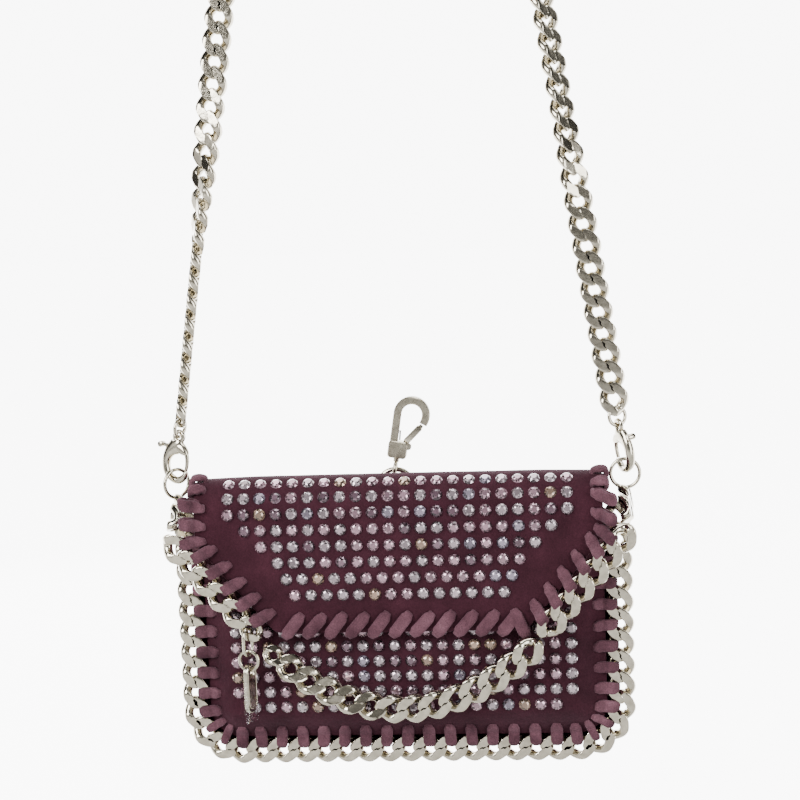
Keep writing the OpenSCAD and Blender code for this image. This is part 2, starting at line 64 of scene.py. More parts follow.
FRONT_Y = -7.5
FRONT_TOP = 76.0
BACK_Y = 7.6
BACK_TOP = 66.0
FLAP_Y = -11.6
SUEDE_T = 1.2
LINING_T = 0.5
FOLD_Y, FOLD_Z = -1.0, 74.3
FOLD_R_BACK = BACK_Y - FOLD_Y
FOLD_R_FRONT = FOLD_Y - FLAP_Y
CORNER_R = 9.0
FRONT_RIM, BACK_RIM = 0.9, 3.1
BACK_UNDER_CHAIN = 2.4
FLAP_BOTTOM = 39.0
RING_X, HANG_Z = 67.0, 87.0
SIDES = (("left", -1), ("right", 1))


def row(point):
    """A point of the wallet's frame, in the row frame and in metres."""
    return Vector((point[0] * MM, point[1] * MM, (point[2] + BOTTOM) * MM))


def put(name, data):
    """An object in the scene that holds the data."""
    obj = bpy.data.objects.new(name, data)
    bpy.context.scene.collection.objects.link(obj)
    return obj


# ---- camera, light and floor ----

AIM = (2.0, -6.0, 107.0)
CAMERA_AZ, CAMERA_EL, CAMERA_ROLL = 5.5, 7.5, 2.3
CAMERA_D = 550.0
CAMERA_LENS = 84.6
FLOOR_Z = -58.0
FLOOR_HALF = 4000.0
FLOOR_GLOW = 8.3
GLOW_START, GLOW_FULL = 20.0, 110.0

# The world's grey as (part of the way, grey): from the horizon to overhead, and from front to back.
WORLD_UP = [(0.0, 1.0), (0.5, 1.0), (0.66, 0.25), (1.0, 0.1)]
WORLD_BACK = [(0.0, 0.07), (0.07, 0.10), (0.14, 0.55), (0.26, 0.5), (0.38, 0.02), (0.60, 0.03),
              (0.74, 1.0), (0.90, 2.6), (1.0, 2.6)]
WORLD_STRENGTH = 3.4

# Each light's name, place, size and watts.
LIGHT_AIM = (0, 0, 90)
LIGHTS = [("key_light", (-380, -520, 420), (420, 420), 10),
          ("fill_light", (520, -420, 180), (300, 500), 4),
          ("top_light", (60, 60, 620), (500, 300), 4),
          ("rim_light", (-260, 480, 240), (260, 420), 2)]


def add_camera():
    az, el = math.radians(CAMERA_AZ), math.radians(CAMERA_EL)
    away = Vector((math.sin(az) * math.cos(el), -math.cos(az) * math.cos(el), math.sin(el)))
    data = bpy.data.cameras.new("camera")
    data.lens = CAMERA_LENS
    data.sensor_width = 36
    data.clip_start = 0.01
    camera = put("camera", data)
    turn = away.to_track_quat("Z", "Y").to_matrix().to_4x4()
    roll = Matrix.Rotation(-math.radians(CAMERA_ROLL), 4, "Z")
    camera.matrix_world = Matrix.Translation(row(AIM) + away * CAMERA_D * MM) @ turn @ roll
    bpy.context.scene.camera = camera


def add_light(name, place, size, watts):
    data = bpy.data.lights.new(name, "AREA")
    data.shape = "RECTANGLE"
    data.size, data.size_y = size[0] * MM, size[1] * MM
    data.energy = watts
    turn = (row(place) - row(LIGHT_AIM)).to_track_quat("Z", "Y").to_matrix().to_4x4()
    put(name, data).matrix_world = Matrix.Translation(row(place)) @ turn


# ---- materials ----


def colour_ramp(tree, value, stops):
    """A ramp over (position, colour) stops."""
    node = tree.nodes.new("ShaderNodeValToRGB")
    elements = node.color_ramp.elements
    while len(elements) < len(stops):
        elements.new(0.5)
    for element, (at, colour) in zip(elements, stops):
        element.position = at
        element.color = (*colour, 1)
    tree.links.new(value, node.inputs["Fac"])
    return node.outputs["Color"]


class Nodes:
    """A material's node tree, with short calls for the nodes that this scene uses."""

    def __init__(self, name):
        self.material = bpy.data.materials.new(name)
        self.material.use_nodes = True
        self.tree = self.material.node_tree
        self.shader = self.tree.nodes["Principled BSDF"]
        self.place = self.new("ShaderNodeTexCoord").outputs["Object"]

    def new(self, kind, **settings):
        node = self.tree.nodes.new(kind)
        for key, value in settings.items():
            setattr(node, key, value)
        return node

    def link(self, a, b):
        self.tree.links.new(a, b)

    def noise(self, size, detail=3.0, roughness=0.55):
        """Noise with features of that size in millimetres."""
        node = self.new("ShaderNodeTexNoise")
        node.inputs["Scale"].default_value = 1 / (size * MM)
        node.inputs["Detail"].default_value = detail
        node.inputs["Roughness"].default_value = roughness
        self.link(self.place, node.inputs["Vector"])
        return node.outputs["Fac"]

    def ramp(self, value, stops):
        return colour_ramp(self.tree, value, stops)

    def grey_ramp(self, value, *stops):
        """A ramp over (position, grey) stops."""
        return self.ramp(value, [(at, (grey, grey, grey)) for at, grey in stops])

    def map_range(self, value, **ends):
        """A value mapped between ends, such as to_max=0.4."""
        node = self.new("ShaderNodeMapRange")
        for key, end in ends.items():
            node.inputs[key.replace("_", " ").title()].default_value = end
        self.link(value, node.inputs["Value"])
        return node.outputs["Result"]

    def colour(self, value):
        self.link(value, self.shader.inputs["Base Color"])

    def finish(self, settings):
        """Sets the shader's inputs by name, and gives the material."""
        for name, value in settings.items():
            self.shader.inputs[name].default_value = value
        return self.material

    def mix(self, kind, factor, a, b):
        node = self.new("ShaderNodeMix", data_type="RGBA", blend_type=kind)
        for socket, value in ((node.inputs[0], factor), (node.inputs[6], a), (node.inputs[7], b)):
            if isinstance(value, (int, float)):
                socket.default_value = value
            elif isinstance(value, tuple):
                socket.default_value = (*value, 1)
            else:
                self.link(value, socket)
        return node.outputs[2]

    def bump(self, *layers):
        """Bump from pairs of height and depth in millimetres, laid over each other."""
        normal = None
        for height, depth in layers:
            node = self.new("ShaderNodeBump")
            node.inputs["Strength"].default_value = 1.0
            node.inputs["Distance"].default_value = depth * MM
            self.link(height, node.inputs["Height"])
            if normal is not None:
                self.link(normal, node.inputs["Normal"])
            normal = node.outputs["Normal"]
        self.link(normal, self.shader.inputs["Normal"])


def linear(r, g, b):
    """An sRGB colour, 0 to 255, as linear values."""
    return tuple((c / 255 / 12.92) if c <= 10 else ((c / 255 + 0.055) / 1.055) ** 2.4 for c in (r, g, b))


def suede_material(name, dark, mid, light, nap=0.22, sheen=0.3):
    n = Nodes(name)
    mottle = n.ramp(n.noise(9, 4), [(0.30, dark), (0.52, mid), (0.75, light)])
    fibre = n.grey_ramp(n.noise(nap, 2, 0.7), (0.3, 0.55), (0.7, 1.25))
    n.colour(n.mix("MULTIPLY", 0.75, mottle, fibre))
    n.bump((n.noise(nap, 3, 0.75), 0.10), (n.noise(1.4, 3), 0.16), (n.noise(6, 2), 0.3))
    return n.finish({"Roughness": 0.92, "Specular IOR Level": 0.06, "Sheen Weight": sheen,
                     "Sheen Roughness": 0.45, "Sheen Tint": (0.78, 0.55, 0.66, 1)})


def twill_material(name, colour, dark):
    n = Nodes(name)
    wave = n.new("ShaderNodeTexWave", wave_type="BANDS", bands_direction="DIAGONAL")
    wave.inputs["Scale"].default_value = 1 / (2.2 * MM)
    wave.inputs["Distortion"].default_value = 0.6
    wave.inputs["Detail"].default_value = 1.5
    n.link(n.place, wave.inputs["Vector"])
    cloth = n.ramp(wave.outputs["Fac"], [(0.2, dark), (0.8, colour)])
    wear = n.grey_ramp(n.noise(7, 3), (0.3, 0.7), (0.7, 1.1))
    n.colour(n.mix("MULTIPLY", 0.35, cloth, wear))
    n.bump((wave.outputs["Fac"], 0.08), (n.noise(5, 3), 0.2))
    return n.finish({"Roughness": 0.6, "Sheen Weight": 0.2})


def metal_material(name, colour, shade, low, high):
    """Plated wire: colour and gloss vary a little, with fine scratches."""
    n = Nodes(name)
    n.colour(n.ramp(n.noise(2.2, 4), [(0.3, shade), (0.62, colour)]))
    n.link(n.map_range(n.noise(0.9, 5, 0.65), to_min=low, to_max=high), n.shader.inputs["Roughness"])
    n.bump((n.noise(0.35, 4, 0.7), 0.012), (n.noise(2.4, 2), 0.05))
    return n.finish({"Metallic": 1.0})


def stone_material():
    """Cut glass over foil: each facet's colour, written on the mesh as a colour attribute, is the stone's
    tint times a painted brightness, which paints glints on some facets and dark reflections on others.
    """
    n = Nodes("cut_glass")
    facet = n.new("ShaderNodeVertexColor", layer_name="tint_and_painted_glint")
    cloud = n.ramp(n.noise(0.8, 2), [(0.35, (0.7, 0.7, 0.75)), (0.65, (1.0, 1.0, 1.0))])
    n.colour(n.mix("MULTIPLY", 0.25, facet.outputs["Color"], cloud))
    return n.finish({"Metallic": 0.6, "Roughness": 0.12, "Coat Weight": 0.5, "Coat Roughness": 0.03})


def film_material():
    n = Nodes("clear_film")
    n.bump((n.noise(3.5, 3), 0.12), (n.noise(1.1, 2), 0.03))
    return n.finish({"Base Color": (0.95, 0.97, 0.98, 1), "Roughness": 0.06, "IOR": 1.3,
                     "Transmission Weight": 1.0, "Alpha": 0.45})


def floor_material():
    """Pale paper, lit from below behind the wallet as a photographer's light table is."""
    n = Nodes("floor_paper")
    n.colour(n.grey_ramp(n.noise(40, 3), (0.3, 0.50), (0.7, 0.53)))
    split = n.new("ShaderNodeSeparateXYZ")
    n.link(n.place, split.inputs[0])
    glow = n.map_range(split.outputs["Y"], from_min=GLOW_START * MM, from_max=GLOW_FULL * MM,
                       to_max=FLOOR_GLOW)
    n.link(glow, n.shader.inputs["Emission Strength"])
    n.bump((n.noise(1.5, 3), 0.03))
    return n.finish({"Roughness": 1.0, "Specular IOR Level": 0.0, "Emission Color": (1, 1, 1, 1)})


# ---- meshes ----


class Shape:
    """Points and faces gathered from many parts, made into one piece at the end."""

    def __init__(self):
        self.points = []
        self.faces = []
        self.count = 0

    def add(self, points, faces):
        points = np.asarray(points, float).reshape(-1, 3)
        self.points.append(points)
        self.faces += [tuple(i + self.count for i in f) for f in faces]
        self.count += len(points)

    def place(self, points, faces, matrix):
        """The part's points moved by a 4 x 4 matrix in millimetres."""
        points = np.asarray(points, float)
        m = np.asarray(matrix, float)
        self.add(points @ m[:3, :3].T + m[:3, 3], faces)

    def piece(self, name, material, body=None, replaces=(), smooth=40):
        """Makes the object. One with no body is given no parent. smooth is in degrees, or 0 for flat."""
        points = np.concatenate(self.points)
        mesh = bpy.data.meshes.new(name)
        mesh.from_pydata([tuple(row(p)) for p in points], [], self.faces)
        mesh.validate()
        mesh.materials.append(material)
        obj = put(name, mesh)
        if smooth:
            mesh.polygons.foreach_set("use_smooth", [True] * len(mesh.polygons))
            mesh.set_sharp_from_angle(angle=math.radians(smooth))
        if replaces:
            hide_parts(*replaces)
        if body:
            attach(obj, body)
        return obj


def unit(v):
    return v / np.linalg.norm(v)


def unit_rows(a):
    return a / np.linalg.norm(a, axis=1)[:, None]


def frame_at(origin, along, out):
    """A matrix with X along the heading, Z as near to out as it can be, at the origin."""
    x = unit(np.asarray(along, float))
    y = unit(np.cross(np.asarray(out, float), x))
    z = np.cross(x, y)
    m = np.eye(4)
    m[:3, 0], m[:3, 1], m[:3, 2], m[:3, 3] = x, y, z, origin
    return m


def turned(matrix, axis, degrees):
    return np.asarray(matrix) @ np.array(Matrix.Rotation(math.radians(degrees), 4, axis))


def sweep(path, profiles, side=None, closed=False):
    """A skin over cross-sections along a path. profiles is one list of 2-D points, or one per
    path point. side fixes the direction of their first axis; otherwise it turns as little as it can."""
    path = np.asarray(path, float)
    n = len(path)
    if closed:
        tangents = np.roll(path, -1, 0) - np.roll(path, 1, 0)
    else:
        tangents = np.gradient(path, axis=0)
    tangents = unit_rows(tangents)
    profiles = np.asarray(profiles, float)
    if profiles.ndim == 2:
        profiles = np.repeat(profiles[None], n, 0)
    if side is None:
        first = np.cross(tangents[0], [0, 1, 0])
        if np.linalg.norm(first) < 0.1:
            first = np.cross(tangents[0], [1, 0, 0])
        sides = [unit(first)]
        for t in tangents[1:]:
            s = sides[-1] - t * np.dot(sides[-1], t)
            sides.append(unit(s))
        sides = np.array(sides)
    else:
        sides = np.asarray(side, float)
        if sides.ndim == 1:
            sides = np.repeat(sides[None], n, 0)
        sides = unit_rows(sides - tangents * np.sum(sides * tangents, 1)[:, None])
    ups = np.cross(tangents, sides)
    k = profiles.shape[1]
    points = (path[:, None] + profiles[:, :, :1] * sides[:, None] + profiles[:, :, 1:] * ups[:, None])
    points = points.reshape(-1, 3)
    faces = []
    for i in range(n if closed else n - 1):
        a, b = i * k, ((i + 1) % n) * k
        faces += [(a + j, a + (j + 1) % k, b + (j + 1) % k, b + j) for j in range(k)]
    if not closed:
        faces += [tuple(range(k - 1, -1, -1)), tuple((n - 1) * k + j for j in range(k))]
    return points, faces


def oval(wide, deep, n):
    """A cross-section with that half width and half depth."""
    return [(wide * math.cos(2 * math.pi * j / n), deep * math.sin(2 * math.pi * j / n)) for j in range(n)]


def circle(r, n=12, stretch=1.0):
    return oval(r * stretch, r, n)


def strip(width, thick):
    """Cross-section of a flat strap with rounded edges and a slightly domed face."""
    w, t = width / 2, thick / 2
    quarter = [(w, t * 0.2), (w * 0.94, t * 0.6), (w * 0.8, t * 0.88), (w * 0.45, t * 1.0), (0, t * 1.06)]
    top = quarter + [(-x, y) for x, y in reversed(quarter[:-1])]
    return top + [(-x, -y) for x, y in top]


def smooth_path(points, rounds=2, closed=False):
    """Corner cutting, which turns a few control points into a smooth line."""
    points = np.asarray(points, float)
    for _ in range(rounds):
        nxt = np.roll(points, -1, 0)
        a, b = points * 0.75 + nxt * 0.25, points * 0.25 + nxt * 0.75
        mixed = np.stack([a, b], 1).reshape(-1, points.shape[1])
        points = mixed if closed else np.concatenate([points[:1], mixed[:-2], points[-1:]])
    return points


def slab(outline, y0, y1, bevel=0.25, hole=None):
    """A plate in the X-Z plane between y0 and y1 with bevelled edges. A hole has as many points
    as the outline."""
    outline = np.asarray(outline, float)
    n = len(outline)

    def inset(loop, amount):
        ahead, behind = np.roll(loop, -1, 0) - loop, loop - np.roll(loop, 1, 0)
        t = unit_rows(unit_rows(ahead) + unit_rows(behind))
        return loop + amount * np.stack([-t[:, 1], t[:, 0]], 1)

    def rings(loop, amount):
        return [np.c_[l[:, 0], np.full(n, y), l[:, 1]]
                for l, y in ((inset(loop, amount), y0), (loop, y0 + bevel), (loop, y1 - bevel),
                             (inset(loop, amount), y1))]

    points = np.concatenate(rings(outline, bevel))
    faces = [(r * n + j, (r + 1) * n + j, (r + 1) * n + (j + 1) % n, r * n + (j + 1) % n)
             for r in range(3) for j in range(n)]
    if hole is None:
        faces += [tuple(range(n)), tuple(3 * n + j for j in range(n - 1, -1, -1))]
    else:
        inner = np.concatenate(rings(np.asarray(hole, float), -bevel))
        base = 4 * n
        points = np.concatenate([points, inner])
        faces += [(base + r * n + j, base + r * n + (j + 1) % n, base + (r + 1) * n + (j + 1) % n,
                   base + (r + 1) * n + j) for r in range(3) for j in range(n)]
        faces += [(j, (j + 1) % n, base + (j + 1) % n, base + j) for j in range(n)]
        faces += [(3 * n + j, base + 3 * n + j, base + 3 * n + (j + 1) % n, 3 * n + (j + 1) % n)
                  for j in range(n)]
    return points, faces


def grid_normals(p):
    du, dv = np.gradient(p, axis=0), np.gradient(p, axis=1)
    normal = np.cross(du, dv)
    return normal / np.maximum(np.linalg.norm(normal, axis=2), 1e-9)[..., None]


def thick_grid(p, thickness, flip=False, edge=0.25):
    """A closed sheet from a grid of points on its outer face: rows by columns. flip turns the
    side that the thickness goes to."""
    rows, columns = p.shape[:2]
    inward = grid_normals(p) * (-thickness if flip else thickness)
    inner = p + inward
    border = [(0, j) for j in range(columns)]
    border += [(i, columns - 1) for i in range(1, rows)]
    border += [(rows - 1, j) for j in range(columns - 2, -1, -1)]
    border += [(i, 0) for i in range(rows - 2, 0, -1)]
    loop = np.array([p[i, j] for i, j in border])
    middle = np.array([p[i, j] + inward[i, j] / 2 for i, j in border])
    ahead = np.roll(loop, -1, 0) - np.roll(loop, 1, 0)
    push = np.cross(ahead, np.array([inward[i, j] for i, j in border]))
    push /= np.maximum(np.linalg.norm(push, axis=1), 1e-9)[:, None]
    centre = p.reshape(-1, 3).mean(0)
    if np.mean(np.sum(push * (loop - centre), 1)) < 0:
        push = -push
    middle += push * edge
    points = np.concatenate([p.reshape(-1, 3), inner.reshape(-1, 3), middle])
    size = rows * columns
    faces = []
    for i in range(rows - 1):
        for j in range(columns - 1):
            a, b = i * columns + j, i * columns + j + 1
            c, d = b + columns, a + columns
            faces += [(a, b, c, d), (size + d, size + c, size + b, size + a)]
    m = len(border)
    for k in range(m):
        (i0, j0), (i1, j1) = border[k], border[(k + 1) % m]
        a, b = i0 * columns + j0, i1 * columns + j1
        c, d = 2 * size + (k + 1) % m, 2 * size + k
        faces += [(b, a, d, c), (c, d, size + a, size + b)]
    if flip:
        faces = [f[::-1] for f in faces]
    return points, faces


def cloth(obj, grid, held, rests_on):
    """Does nothing: the sheet, its grid, how it is held and what it rests on are not used."""


SAME_POINT = 2e-6


def islands(node):
    """The loose parts of a CAD node, each as its points in the wallet's frame. Points of its mesh
    that lie closer together than SAME_POINT metres are taken as one."""
    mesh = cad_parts[node].data
    points = np.array([v.co for v in mesh.vertices], float)
    _, index = np.unique(np.round(points / SAME_POINT), axis=0, return_inverse=True)
    index = index.reshape(-1)
    parent = np.arange(index.max() + 1)

    def find(i):
        while parent[i] != i:
            parent[i] = parent[parent[i]]
            i = parent[i]
        return i

    for edge in mesh.edges:
        a, b = find(index[edge.vertices[0]]), find(index[edge.vertices[1]])
        if a != b:
            parent[a] = b
    roots = np.array([find(i) for i in index])
    points = points / MM - [0, 0, BOTTOM]
    return [points[roots == r] for r in np.unique(roots)]


def middles(node):
    return np.array([(p.min(0) + p.max(0)) / 2 for p in islands(node)])


def in_order(points, start):
    """The points as a walk from the one nearest to start, always on to the nearest left."""
    left = list(range(len(points)))
    here = np.asarray(start, float)
    order = []
    while left:
        k = min(left, key=lambda i: np.linalg.norm(points[i] - here))
        here = points[k]
        order.append(here)
        left.remove(k)
    return np.array(order)


# ---- curb links ----

LINK_A, LINK_B = 4.0, 2.95
LINK_WIRE = 1.42
LINK_TWIST = 62.0
LINK_FLAT = 1.6
SMALL_SWAG_LINK, SMALL_FLAP_LINK = 0.74, 0.84


def curb_link():
    """A twisted oval link, ground flat in front and behind, with X along the chain."""
    t = np.linspace(0, 2 * math.pi, 40, endpoint=False)
    x = LINK_A * np.cos(t)
    phi = -math.radians(LINK_TWIST) * x / LINK_A
    path = np.c_[x, LINK_B * np.sin(t) * np.cos(phi), LINK_B * np.sin(t) * np.sin(phi)]
    points, faces = sweep(path, circle(LINK_WIRE, 14), side=path * [1, 1, 0] + [0, 0, 1e-6], closed=True)
    points[:, 2] = np.clip(points[:, 2], -LINK_FLAT, LINK_FLAT)
    return points, faces


def headings(centres):
    """The way the line through the centres goes at each of them."""
    line = np.concatenate([[2 * centres[0] - centres[1]], centres, [2 * centres[-1] - centres[-2]]])
    return line[2:] - line[:-2]


def chain(name, body, centres, facing, nodes=(), small=None):
    """A piece with a link at each centre, for the CAD nodes given or the one of its own name.
    facing is a direction, or one for each link. small gives the size of links that aren't full size."""
    points, faces = curb_link()
    facing = np.broadcast_to(np.asarray(facing, float), (len(centres), 3))
    shape = Shape()
    for i, (centre, heading) in enumerate(zip(centres, headings(centres))):
        size = (small or {}).get(i, 1.0)
        shape.place(points * size, faces, frame_at(centre, heading, facing[i]))
    return shape.piece(f"{name}_curb", SILVER, body, nodes or [name])


# ---- leather ----

BULGE_RUN, BULGE_POWER = 10.5, 0.8
BACK_POINTS, FOLD_POINTS = 6, 31
LOWER_CURVE = 3.0


def smoothstep(t):
    t = np.clip(t, 0, 1)
    return t * t * (3 - 2 * t)


def edge_distance(x, z):
    """Distance in from the panel's side and bottom edges, which meet in rounded corners."""
    qx, qz = np.abs(x) - (PANEL_HALF - CORNER_R), (PANEL_LOW + CORNER_R) - z
    outside = np.hypot(np.maximum(qx, 0), np.maximum(qz, 0))
    return CORNER_R - outside - np.minimum(np.maximum(qx, qz), 0)


def bulge(distance, full, rim):
    """Depth of a panel's face, which rises from its rim over BULGE_RUN in from the edge."""
    return rim + (full - rim) * smoothstep(distance / BULGE_RUN) ** BULGE_POWER


def spread(columns, power):
    """Numbers from -1 to 1 that stand closer together towards the ends."""
    u = np.linspace(-1, 1, columns)
    return np.sign(u) * (1 - (1 - np.abs(u)) ** power)


def dents(x, z, seed, amount=0.14):
    """Slight waves in the leather."""
    out = np.zeros(np.shape(x))
    for index in np.ndindex(out.shape):
        p = Vector((x[index] / 16, seed, z[index] / 16))
        out[index] = noise.noise(p) + 0.5 * noise.noise(p * 2.7)
    return out * amount


def panel_rows(top, step=1.6):
    """Heights up a panel, closer together round its lower corners."""
    corner = [PANEL_LOW + CORNER_R * (1 - math.cos(a)) for a in np.linspace(0, math.pi / 2, 12)]
    straight = np.linspace(corner[-1], top, int((top - corner[-1]) / step))
    return np.concatenate([corner, straight[1:]])


def half_width(z, inset=0.0):
    low = np.maximum(CORNER_R + PANEL_LOW - z, 0)
    return PANEL_HALF - CORNER_R + np.sqrt(np.maximum((CORNER_R - inset) ** 2 - low ** 2, 0))


def panel_grid(full, sign, top, inset=0.0, seed=1.0, columns=75, rim=FRONT_RIM):
    """Points of a panel's outer face, on the front where sign is -1. A lining is set in from the edge."""
    z = panel_rows(top)
    if inset:
        z = PANEL_LOW + inset + (z - PANEL_LOW) * (top - PANEL_LOW - inset) / (top - PANEL_LOW)
    zz = np.repeat(z[:, None], columns, 1)
    xx = spread(columns, 1.25)[None] * half_width(zz, inset)
    depth = bulge(edge_distance(xx, zz), full, rim) + dents(xx, zz, seed)
    return np.stack([xx, sign * depth, zz], 2)


def flap_half_width(z):
    """Half the flap's width at a height: straight, a rounded shoulder, a slant, a rounded corner."""
    low = FLAP_BOTTOM
    outline = smooth_path([(PANEL_HALF, 90), (PANEL_HALF, 74), (PANEL_HALF, 67.5), (57.6, 63.2),
                           (39.6, low + 3.2), (37.3, low + 0.3), (33, low), (20, low)], 3)
    order = np.argsort(outline[:, 1], kind="stable")
    heights = outline[order, 1] + np.arange(len(order)) * 1e-6
    return np.interp(z, heights, np.maximum.accumulate(outline[order, 0]))


def flap_profile():
    """Points (y, z) of the flap's outer face, from the back over the fold and down the front."""
    back_low = 62.0
    line = [(BACK_Y, z) for z in np.linspace(back_low, FOLD_Z, BACK_POINTS + 1)[:-1]]
    for angle in np.linspace(0, 180, FOLD_POINTS):
        r = FOLD_R_BACK + (FOLD_R_FRONT - FOLD_R_BACK) * float(smoothstep(angle / 120))
        a = math.radians(angle)
        line.append((FOLD_Y + r * math.cos(a), FOLD_Z + r * math.sin(a)))
    line += [(FLAP_Y, z) for z in np.linspace(FOLD_Z, FLAP_BOTTOM + LOWER_CURVE, 24)[1:]]
    line += [(FLAP_Y, FLAP_BOTTOM + LOWER_CURVE * (1 - math.sin(a)))
             for a in np.linspace(0, math.pi / 2, 7)[1:]]
    return np.array(line)


def flap_grid(inset=0.0, depth=0.0, columns=81):
    """Points of the flap's outer face. The lining's lies deeper, and is set in from the edge."""
    line = flap_profile()
    tangent = unit_rows(np.gradient(line, axis=0))
    outward = np.c_[tangent[:, 1], -tangent[:, 0]]
    u = spread(columns, 1.2)
    grid = np.zeros((len(line), columns, 3))
    for i, (y, z) in enumerate(line):
        front = i >= BACK_POINTS + FOLD_POINTS // 2
        on_fold = BACK_POINTS <= i < BACK_POINTS + FOLD_POINTS
        x = u * ((flap_half_width(z) if front else PANEL_HALF) - inset)
        droop = 0.55 * np.abs(x / PANEL_HALF) ** 5 if on_fold else 0.0
        wave = dents(x, np.full(columns, z + (0 if front else 60)), 7.0, 0.12)
        push = wave - droop - depth
        zz = z + (inset if i == len(line) - 1 else 0)
        grid[i] = np.c_[x, y + outward[i, 0] * push, zz + outward[i, 1] * push]
    return grid


def bend_with_flap(obj):
    """Bakes the piece's placement into its mesh points."""
    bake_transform(obj)


# ---- laces ----

LACE_W, LACE_T = 3.6, 1.4
CORNER_LACE_W, FOLD_LACE_W = 2.5, 3.4
BOTTOM_LACE_W, BOTTOM_LACE_T = 3.7, 1.35
LACE_MIDDLE = 4.5
SIDE_LEAN, FOLD_LEAN, BOTTOM_LEAN, LAST_LEAN = 17, 6, 40, -24


def pinch(u, low, high):
    """How much of its width a lace keeps: less where it dips into a hole at either end."""
    return 1 - 0.34 * float(smoothstep((u - high) / 1.6)) - 0.3 * float(smoothstep((low - u) / 1.2))


def lace(shape, centre, along, inward, out, loop, width=LACE_W, lean=0.0):
    """A flat lace bent round a closed loop of (inward, outward) distances from the centre."""
    along, inward, out = (np.asarray(v, float) for v in (along, inward, out))
    loop = smooth_path(loop, 2, closed=True)
    tilt = math.tan(math.radians(lean))
    path = np.array([centre + inward * u + out * w + along * (u - LACE_MIDDLE) * tilt for u, w in loop])
    profiles = [strip(width * pinch(u, 2.2, 6.2), LACE_T) for u, _ in loop]
    points, faces = sweep(path, profiles, side=along, closed=True)
    shape.add(points, faces)


# ---- stones ----

STONE_R = 1.82
STONE_SINK = 0.6
STONE_SHADE = 0.5
# Each tint, and how often it comes.
TINTS = [((0.84, 0.68, 0.74), 9), ((0.80, 0.50, 0.60), 8), ((0.62, 0.53, 0.66), 1.2),
         ((0.76, 0.52, 0.38), 1.6), ((0.36, 0.22, 0.28), 3)]


def stone_shape():
    """A round brilliant on a flat back: girdle, two rings of facets, and a table."""
    n = 12
    a, b, c = n, 2 * n, 3 * n

    def ring(r, z, half):
        return [(r * math.cos(2 * math.pi * (j + half) / n), r * math.sin(2 * math.pi * (j + half) / n), z)
                for j in range(n)]

    points = ring(STONE_R * 0.97, -0.2, 0) + ring(STONE_R, 0.3, 0)
    points += ring(1.36, 0.85, 0.5) + ring(0.85, 1.15, 0)
    faces = [(j, (j + 1) % n, n + (j + 1) % n, n + j) for j in range(n)]
    for j in range(n):
        k = (j + 1) % n
        faces += [(a + j, a + k, b + j), (a + k, b + k, b + j)]
        faces += [(b + j, c + k, c + j), (b + j, b + k, c + k)]
    faces.append(tuple(c + j for j in range(n)))
    return np.array(points), faces


def stones(name, node, body):
    """A cut stone at each of the CAD node's stones, facing forward or, on the fold, outward."""
    seed = random.Random(len(name))
    points, faces = stone_shape()
    shape = Shape()
    tint_and_glint_colours = []
    weights = [w for _, w in TINTS]
    for centre in middles(node):
        out = np.array([0, -1.0, 0])
        if centre[2] > FOLD_Z:
            out = unit(np.array([0, centre[1] - FOLD_Y, centre[2] - FOLD_Z]))
        matrix = frame_at(centre - out * STONE_SINK, (1, 0, 0), out)
        matrix = turned(matrix, "Z", seed.uniform(0, 30))
        matrix = turned(matrix, "X", seed.uniform(-3, 3))
        shape.place(points, faces, matrix)
        tint = seed.choices([t for t, _ in TINTS], weights)[0]
        # Each facet's colour is the tint times a painted brightness: most facets painted dark as shaded
        # reflections, a few painted bright as glints, and the table middling to bright.
        for face in faces:
            shade = min(1.0, 0.10 + 1.1 * seed.random() ** 1.9)
            if len(face) > 4:
                shade = 0.45 + 0.5 * seed.random()
            tint_and_glint_colours += [(*(c * shade * STONE_SHADE for c in tint), 1.0)] * len(face)
    obj = shape.piece(name, stone_material(), body, [node], smooth=0)
    facets = obj.data.color_attributes.new("tint_and_painted_glint", "FLOAT_COLOR", "CORNER")
    facets.data.foreach_set("color", np.array(tint_and_glint_colours, np.float32).ravel())
    return obj


# ---- build: materials ----

SUEDE = suede_material("plum_suede", linear(40, 18, 25), linear(47, 22, 30), linear(55, 27, 36), sheen=0.08)
LACE = suede_material("mauve_lace", linear(56, 34, 41), linear(79, 52, 60), linear(101, 70, 79),
                      nap=0.35, sheen=0.11)
LINING = twill_material("plum_twill", linear(62, 38, 48), linear(40, 22, 29))
SILVER = metal_material("nickel_plate", (0.49, 0.45, 0.36), (0.35, 0.318, 0.25), 0.08, 0.2)
SATIN = metal_material("satin_nickel", (0.40, 0.365, 0.285), (0.30, 0.27, 0.21), 0.2, 0.36)
DARK = metal_material("spring_steel", (0.20, 0.19, 0.18), (0.11, 0.10, 0.10), 0.25, 0.45)
FILM = film_material()

# ---- build: panels ----

LINING_INSET, FLAP_LINING_INSET = 3.0, 1.2
UNDER = SUEDE_T + 0.05
UNDER_FLAP = SUEDE_T + 0.03
FRONT_WAVES, BACK_WAVES = 2.0, 4.0
# Each slot's material, thickness and how far its cut edge stands out.
CLOTHS = {"suede": (SUEDE, SUEDE_T, 0.25), "lining": (LINING, LINING_T, 0.05)}


def layer(name, grid, slot, node, held, rests_on, body="wallet", flip=True):
    """One sheet of the pouch, which takes the place of a CAD node."""
    material, thick, edge = CLOTHS[slot]
    shape = Shape()
    shape.add(*thick_grid(grid, thick, flip, edge))
    obj = shape.piece(name, material, body, [node])
    cloth(obj, grid, held, rests_on)
    return obj


